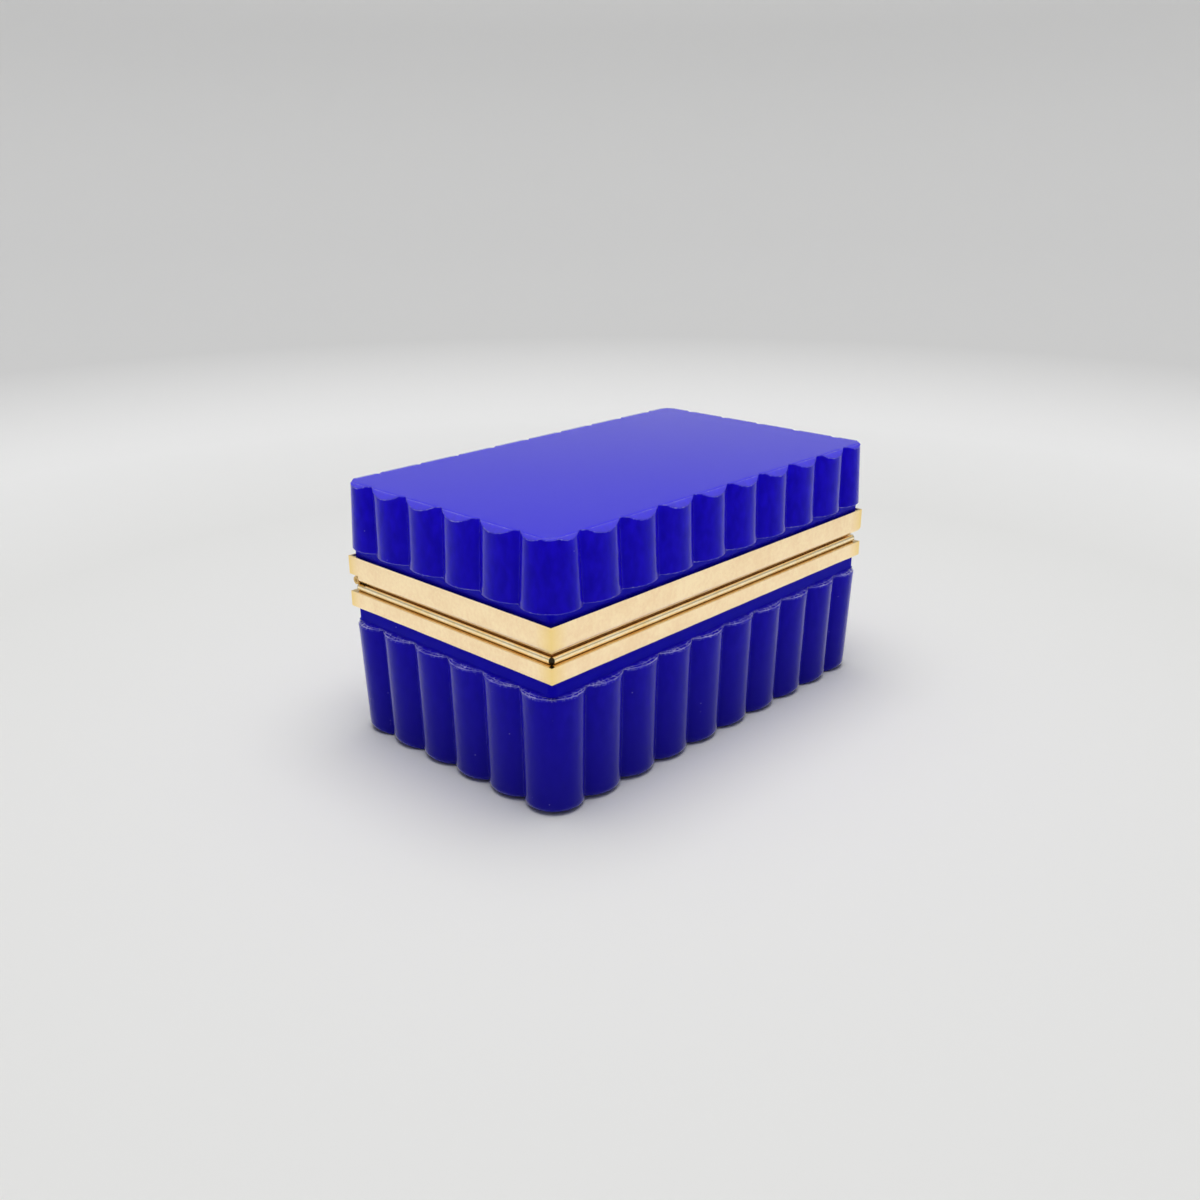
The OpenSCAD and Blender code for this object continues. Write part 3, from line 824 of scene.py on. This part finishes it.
def opaline_material():
    """Deep blue opal glass with waviness, seeds, painted shade toward the foot, and rubbed, chipped moulded
    edges with painted highlights and glints.
    """
    material, tree = new_material("pressed_blue_opaline_glass")
    place = add(tree, "ShaderNodeTexCoord").outputs["Object"]
    lip, ground, plain = [add(tree, "ShaderNodeAttribute", attribute_name=mark).outputs["Fac"]
                          for mark in ("lip", "ground", "plain")]

    # level is 1 on the ground top, told by its height, and upright is 1 on everything below it
    height = add(tree, "ShaderNodeSeparateXYZ", {0: place}).outputs["Z"]
    level = add(tree, "ShaderNodeMapRange", {
        "Value": height, "From Min": (cover_top - SKIN_ENDS) * MM,
        "From Max": (cover_top - FLAT_BEGINS) * MM}).outputs[0]
    upright = add(tree, "ShaderNodeMath", {0: 1.0, 1: level}, operation="SUBTRACT").outputs[0]

    body = glass_colour(tree, place, height, level, plain)
    seeded = glass_seeds(tree, place, upright, body)
    wear_and_glints = glass_wear_and_glints(tree, place, lip)
    # painted highlights and glints: pale #CFCCFF over the edge lines and the scars
    skin = add(tree, "ShaderNodeMix", {FACTOR: wear_and_glints, A: seeded, B: colour("#CFCCFF")}, data_type="RGBA")

    # ground bevels are paler than the moulded skin, because their fine scratches scatter light
    scatter = add(tree, "ShaderNodeMath", {0: ground, 1: 0.3}, operation="MULTIPLY")
    cut = add(tree, "ShaderNodeMix", {
        FACTOR: scatter.outputs[0], A: skin.outputs[MIXED], B: colour("#7C74F4")}, data_type="RGBA")

    # light goes up to 3 mm in, blue the farthest; the gloss is a coat, so that it can fade square on
    normal, gloss = glass_waves(tree, place, upright, wear_and_glints)
    polish = glass_polish(tree, lip, ground, plain, normal)
    surface = add(tree, "ShaderNodeBsdfPrincipled", {
        "Base Color": cut.outputs[MIXED], "Roughness": gloss, "IOR": 1.5, "Specular IOR Level": 0.03,
        "Subsurface Weight": 0.3, "Subsurface Radius": (0.35, 0.4, 1.0), "Subsurface Scale": 3.0 * MM,
        "Coat Weight": polish, "Coat Roughness": 0.04, "Coat IOR": 1.5,
        "Normal": normal, "Coat Normal": normal})
    add(tree, "ShaderNodeOutputMaterial", {"Surface": surface.outputs[0]})
    return material


# %% [markdown]
# ### Gilt and polished brass
#
# The mount is polished brass with a pale gilding that has gone a little milky and pinkish. It was
# rubbed along its length, so hair-fine lines run level round the box. In the groove, where no cloth
# reaches, the metal is brown, part tarnish and part painted shade, and the nicks at the bead's
# corners are painted near black, part grime and part painted shade. Brass needs no index of its own:
# its colour is its reflection.

# %% The brasses
# millimetres: the radius of the near black in the nicks, part grime and part painted shade, how far
# inside each corner its middle lies, and how it fades
NICK_R = 1.05
NICK_IN = 0.9
NICK_FADE = 0.12


def brass_material(name, light, dark, roughness, nick_grime_and_shade=0.0):
    """Rubbed brass: two mottled tones, yellow mitres, recesses browned by tarnish and painted shade, nicks
    painted black by grime and painted shade, and level hairlines.
    """
    material, tree = new_material(name)
    place = add(tree, "ShaderNodeTexCoord").outputs["Object"]

    # the gilding is thin and thick in clouds 1.1 mm wide on a film that changes over 9 mm
    mottle = add(tree, "ShaderNodeTexNoise", {"Vector": place, "Scale": every(1.1), "Detail": 3.0})
    film = add(tree, "ShaderNodeTexNoise", {"Vector": place, "Scale": every(9.0), "Detail": 2.0})
    both = add(tree, "ShaderNodeMath", {0: mottle.outputs["Fac"], 1: film.outputs["Fac"]}, operation="ADD")
    patches = add(tree, "ShaderNodeMapRange", {
        "Value": both.outputs[0], "From Min": 0.75, "From Max": 1.25})
    tone = add(tree, "ShaderNodeMix", {
        FACTOR: patches.outputs[0], A: colour(light), B: colour(dark)}, data_type="RGBA")

    # the mitres are rubbed yellow, and the recess is brown, part tarnish and part painted shade
    corner = add(tree, "ShaderNodeAttribute", attribute_name="corner").outputs["Fac"]
    rubbed = add(tree, "ShaderNodeMix", {
        FACTOR: corner, A: tone.outputs[MIXED], B: colour("#F3D58C")}, data_type="RGBA")
    recess = add(tree, "ShaderNodeAttribute", attribute_name="recess").outputs["Fac"]
    tarnish_and_shade = add(tree, "ShaderNodeMath", {0: recess, 1: 0.75}, operation="MULTIPLY")
    tarnished_and_shaded = add(tree, "ShaderNodeMix", {
        FACTOR: tarnish_and_shade.outputs[0], A: rubbed.outputs[MIXED], B: colour("#C0823A")}, data_type="RGBA")

    # grime and painted shade in the nicks, near black: everything within NICK_R of the upright line through
    # each corner of the bead
    folded = add(tree, "ShaderNodeVectorMath", {0: place}, operation="ABSOLUTE")
    in_plan = add(tree, "ShaderNodeVectorMath", {
        0: folded.outputs[0], 1: (1.0, 1.0, 0.0)}, operation="MULTIPLY")
    nick_at = ((band_x - NICK_IN) * MM, (band_y - NICK_IN) * MM, 0.0)
    away = add(tree, "ShaderNodeVectorMath", {0: in_plan.outputs[0], 1: nick_at}, operation="DISTANCE")
    grime_and_shade = add(tree, "ShaderNodeMapRange", {
        "Value": away.outputs["Value"], "From Min": NICK_R * MM, "From Max": (NICK_R + NICK_FADE) * MM,
        "To Min": nick_grime_and_shade, "To Max": 0.0})
    grimed_and_shaded = add(tree, "ShaderNodeMix", {
        FACTOR: grime_and_shade.outputs[0], A: tarnished_and_shaded.outputs[MIXED], B: colour("#0C0704")}, data_type="RGBA")

    # hairlines from rubbing, fifty times as long as they are apart. Real ones lie a few hundredths of a
    # millimetre apart, too fine to show, so these are drawn 0.17 mm apart
    drawn = add(tree, "ShaderNodeMapping", {"Vector": place, "Scale": (0.02, 0.02, 1.0)})
    hair = add(tree, "ShaderNodeTexNoise", {
        "Vector": drawn.outputs[0], "Scale": every(0.17), "Detail": 3.0})
    lines = add(tree, "ShaderNodeBump", {
        "Height": hair.outputs["Fac"], "Strength": 0.3, "Distance": 0.01 * MM})

    # shallow dents 6 mm wide, from bending and handling
    dents = add(tree, "ShaderNodeTexNoise", {"Vector": place, "Scale": every(6.0), "Detail": 2.0})
    dented = add(tree, "ShaderNodeBump", {
        "Height": dents.outputs["Fac"], "Strength": 0.3, "Distance": 0.02 * MM,
        "Normal": lines.outputs[0]})
    milky = add(tree, "ShaderNodeMapRange", {
        "Value": mottle.outputs["Fac"], "To Min": roughness * 0.85, "To Max": roughness * 1.15})
    surface = add(tree, "ShaderNodeBsdfPrincipled", {
        "Base Color": grimed_and_shaded.outputs[MIXED], "Metallic": 1.0, "Roughness": milky.outputs[0],
        "Normal": dented.outputs[0]})
    add(tree, "ShaderNodeOutputMaterial", {"Surface": surface.outputs[0]})
    return material


# %% [markdown]
# ### Cement
#
# Plaster cement holds the mount on the glass. It is chalky and slightly yellowed. Its grains are finer
# than a tenth of a millimetre, too fine to show, so the grain is drawn about 1 mm wide.

# %% The cement
def cement_material():
    """Dull cement with grain and pores."""
    material, tree = new_material("set_plaster_cement")
    place = add(tree, "ShaderNodeTexCoord").outputs["Object"]
    grain = add(tree, "ShaderNodeTexNoise", {"Vector": place, "Scale": every(1.1), "Detail": 6.0})
    tone = add(tree, "ShaderNodeMix", {
        FACTOR: grain.outputs["Fac"], A: colour("#B9B2A2"), B: colour("#D8D2C4")}, data_type="RGBA")
    pores = add(tree, "ShaderNodeBump", {
        "Height": grain.outputs["Fac"], "Strength": 0.5, "Distance": 0.1 * MM})
    surface = add(tree, "ShaderNodeBsdfPrincipled", {
        "Base Color": tone.outputs[MIXED], "Roughness": 0.92, "Normal": pores.outputs[0]})
    add(tree, "ShaderNodeOutputMaterial", {"Surface": surface.outputs[0]})
    return material


# %% All finishes
# The leaves were filed and only rubbed with a cloth, so they are satin and darker. The pin is wire, and
# being pulled through a die left it duller and browner.
opaline = opaline_material()
band_brass = brass_material("gilt_brass_band", "#FDE6BA", "#F5D8AC", roughness=0.15)
bead_brass = brass_material("polished_brass_bead", "#FFF0CC", "#FCDFA2", roughness=0.14, nick_grime_and_shade=0.97)
hinge_brass = brass_material("satin_hinge_brass", "#D9B878", "#B8904E", roughness=0.32)
pin_brass = brass_material("drawn_brass_pin", "#B99556", "#8E6C38", roughness=0.38)
cement = cement_material()
for material in (opaline, band_brass, bead_brass, hinge_brass, pin_brass, cement):
    print(material.name, "nodes", len(material.node_tree.nodes))

# %% [markdown]
# ## Dressing the pieces
#
# Each new piece rides on the body of the node that it stands for. Beads, hinge, pin and bedding keep
# their own shape from the model and take only a finish.

# %% Which piece stands for what
def dress(piece, material, node, body):
    """Gives a new piece its finish and its place in the frame."""
    piece.data.materials.append(material)
    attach(piece, body)
    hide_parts(node)


dress(cup_glass, opaline, "base_glass", "base")
dress(cover_glass, opaline, "lid_glass", "lid")
for side in SIDES:
    dress(cup_bands[side], band_brass, f"base_rail_{side}", "base")
    dress(cover_bands[side], band_brass, f"lid_rail_{side}", "lid")

kept = {"base_bed": cement, "lid_bed": cement, "hinge_pin": pin_brass,
        "base_hinge_leaf": hinge_brass, "lid_hinge_leaf": hinge_brass}
kept.update({f"base_bead_{side}": bead_brass for side in SIDES})
for node, material in kept.items():
    for material_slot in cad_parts[node].material_slots:
        material_slot.link = "OBJECT"
        material_slot.material = material
    print(node, "slots", len(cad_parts[node].material_slots))

# %% [markdown]
# ## The stage
#
# The box stands on white paper that sweeps up into a wall, as on a photographer's table. Turned like a
# piece from a lathe, the sweep looks the same from every side, and it has no corner that could show.
# The paper is matt. What it looks like to the camera, in the mirror of brass and glass, and as a source
# of light are three things, and each kind of ray gets its own colour.

# %% Floor and wall in one lathe surface
MIDDLE_R = 0.02
FLOOR_RADIUS = 0.42
SWEEP_R = 0.25
WALL_TOP = 0.9
FLOOR_DROP = 0.05 * MM
FLOOR_RINGS = 8
SWEEP_STEPS = 16
TURNS = 160


def stage_profile():
    """Radius and height in metres: level floor, quarter circle, upright wall."""
    floor = np.column_stack([np.linspace(MIDDLE_R, FLOOR_RADIUS, FLOOR_RINGS), np.zeros(FLOOR_RINGS)])
    bend = np.array([[FLOOR_RADIUS + SWEEP_R * s, SWEEP_R * (1 - c)] for s, c in quarter(SWEEP_STEPS)])
    upright = np.array([[FLOOR_RADIUS + SWEEP_R, WALL_TOP]])
    return np.concatenate([floor, bend[1:], upright]) - [0, FLOOR_DROP]


turn = np.linspace(0, 2 * np.pi, TURNS, endpoint=False)
profile = stage_profile()
sheet = np.stack([profile[:, :1] * np.cos(turn), profile[:, :1] * np.sin(turn),
                  np.repeat(profile[:, 1:], TURNS, axis=1)], axis=-1)
sweep_mesh = bpy.data.meshes.new("sweep")
sweep_faces = strip_faces(len(profile), TURNS).tolist() + [list(range(TURNS))]
sweep_mesh.from_pydata(sheet.reshape(-1, 3).tolist(), [], sweep_faces)
sweep_mesh.shade_smooth()
sweep = bpy.data.objects.new("sweep", sweep_mesh)
bpy.context.scene.collection.objects.link(sweep)
print("sweep, m", round(FLOOR_RADIUS + SWEEP_R, 2), "out and", WALL_TOP, "up,", len(sweep_faces), "faces")

# %% The paper
def paper_material():
    """Matt white paper, near white where it turns up and greyer above. Heights are in metres."""
    material, tree = new_material("white_paper_sweep")
    place = add(tree, "ShaderNodeTexCoord").outputs["Object"]
    height = add(tree, "ShaderNodeSeparateXYZ", {0: place}).outputs["Z"]
    rise = add(tree, "ShaderNodeMapRange", {"Value": height, "From Min": 0.0, "From Max": 0.035})
    rays = add(tree, "ShaderNodeLightPath")

    # to the camera: the floor gets paler away from the box, and the wall gets paler upward
    above = add(tree, "ShaderNodeMapRange", {"Value": height, "From Min": 0.1, "From Max": 0.5})
    backdrop = add(tree, "ShaderNodeMix", {
        FACTOR: above.outputs[0], A: colour("#DADAD9"), B: colour("#F2F2F0")}, data_type="RGBA")
    from_box = add(tree, "ShaderNodeVectorMath", {0: place}, operation="LENGTH")
    far_out = add(tree, "ShaderNodeMapRange", {
        "Value": from_box.outputs["Value"], "From Min": 0.25, "From Max": 0.42})
    level_part = add(tree, "ShaderNodeMix", {
        FACTOR: far_out.outputs[0], A: colour("#EAEAE8"), B: colour("#FAFAF9")}, data_type="RGBA")
    direct = add(tree, "ShaderNodeMix", {
        FACTOR: rise.outputs[0], A: level_part.outputs[MIXED], B: backdrop.outputs[MIXED]},
        data_type="RGBA")

    # in a mirror: white, with a greyer belt that begins 0.05 to 0.2 m up and ends 0.4 to 0.5 m up
    over = add(tree, "ShaderNodeMapRange", {"Value": height, "From Min": 0.05, "From Max": 0.2})
    higher = add(tree, "ShaderNodeMapRange", {"Value": height, "From Min": 0.4, "From Max": 0.5})
    belt = add(tree, "ShaderNodeMath", {0: over.outputs[0], 1: higher.outputs[0]}, operation="SUBTRACT")
    mirrored = add(tree, "ShaderNodeMix", {
        FACTOR: belt.outputs[0], A: colour("#FFFFFE"), B: colour("#C8C8C7")}, data_type="RGBA")
    paper = add(tree, "ShaderNodeMix", {
        FACTOR: rays.outputs["Is Glossy Ray"], A: direct.outputs[MIXED], B: mirrored.outputs[MIXED]},
        data_type="RGBA")

    # to all other rays the wall is grey, so that it throws less light back at the box
    seen = add(tree, "ShaderNodeMath", {
        0: rays.outputs["Is Camera Ray"], 1: rays.outputs["Is Glossy Ray"]}, operation="MAXIMUM")
    unseen = add(tree, "ShaderNodeMath", {0: 1.0, 1: seen.outputs[0]}, operation="SUBTRACT")
    dim = add(tree, "ShaderNodeMath", {0: unseen.outputs[0], 1: rise.outputs[0]}, operation="MULTIPLY")
    shade = add(tree, "ShaderNodeMix", {
        FACTOR: dim.outputs[0], A: paper.outputs[MIXED], B: colour("#7C7C7E")}, data_type="RGBA")
    surface = add(tree, "ShaderNodeBsdfPrincipled", {
        "Base Color": shade.outputs[MIXED], "Roughness": 0.8, "Specular IOR Level": 0.1})
    add(tree, "ShaderNodeOutputMaterial", {"Surface": surface.outputs[0]})
    return material


sweep_mesh.materials.append(paper_material())
print("paper", sweep_mesh.materials[0].name)

# %% [markdown]
# ## The light
#
# One large soft lamp hangs overhead, as for a small object on a white table, so shadows are short and
# have no hard edge. A pale surround fills them, as the walls of a bright room do. Both are kept low
# enough that the paper doesn't clip to white.

# %% Lamp and surround
LAMP_SIZE = 1.0
LAMP_HEIGHT = 1.15
LAMP_WATTS = 8.1
SURROUND = 0.87

lamp_data = bpy.data.lights.new("soft_overhead", "AREA")
lamp_data.shape = "DISK"
lamp_data.size = LAMP_SIZE
lamp_data.energy = LAMP_WATTS
lamp = bpy.data.objects.new("soft_overhead", lamp_data)
lamp.location = (0, 0, LAMP_HEIGHT)
bpy.context.scene.collection.objects.link(lamp)

world = bpy.data.worlds.new("pale_surround")
world.use_nodes = True
world.node_tree.nodes.clear()
sky = add(world.node_tree, "ShaderNodeBackground", {"Color": colour("#FFFFFF"), "Strength": SURROUND})
add(world.node_tree, "ShaderNodeOutputWorld", {"Surface": sky.outputs[0]})
bpy.context.scene.world = world
print("lamp", LAMP_WATTS, "W,", LAMP_SIZE, "m wide,", LAMP_HEIGHT, "m up; surround", SURROUND)

# %% [markdown]
# ## The camera
#
# The camera looks down at the corner between the front and the left side. Its place, turn and focal
# length were solved from the photograph, so that the render can be laid over it. Its axes are built one
# from another: back points from the box to the camera, level runs sideways, upright is square to both,
# and the roll turns those two about back.

# %% Where the photograph was taken from
CAMERA_AT = np.array([-0.25615, -0.23330, 0.16138])
AZIMUTH, ELEVATION, ROLL = np.radians([-46.646, 20.577, -0.196])
FOCAL = 35.69
SENSOR = 36.0
NEAREST = 0.01

back = np.array([np.sin(AZIMUTH) * np.cos(ELEVATION), -np.cos(AZIMUTH) * np.cos(ELEVATION),
                 np.sin(ELEVATION)])
level = np.cross([0, 0, 1], back)
level /= np.linalg.norm(level)
upright = np.cross(back, level)
right = level * np.cos(ROLL) + upright * np.sin(ROLL)
up = upright * np.cos(ROLL) - level * np.sin(ROLL)
pose = np.eye(4)
pose[:3] = np.column_stack([right, up, back, CAMERA_AT])

camera_data = bpy.data.cameras.new("photo_camera")
camera_data.sensor_width = SENSOR
camera_data.lens = FOCAL
camera_data.clip_start = NEAREST
camera = bpy.data.objects.new("photo_camera", camera_data)
camera.matrix_world = Matrix(pose.tolist())
bpy.context.scene.collection.objects.link(camera)
bpy.context.scene.camera = camera
bpy.context.scene.view_settings.view_transform = "Standard"
print("camera, m", CAMERA_AT.tolist(), "focal length, mm", FOCAL)
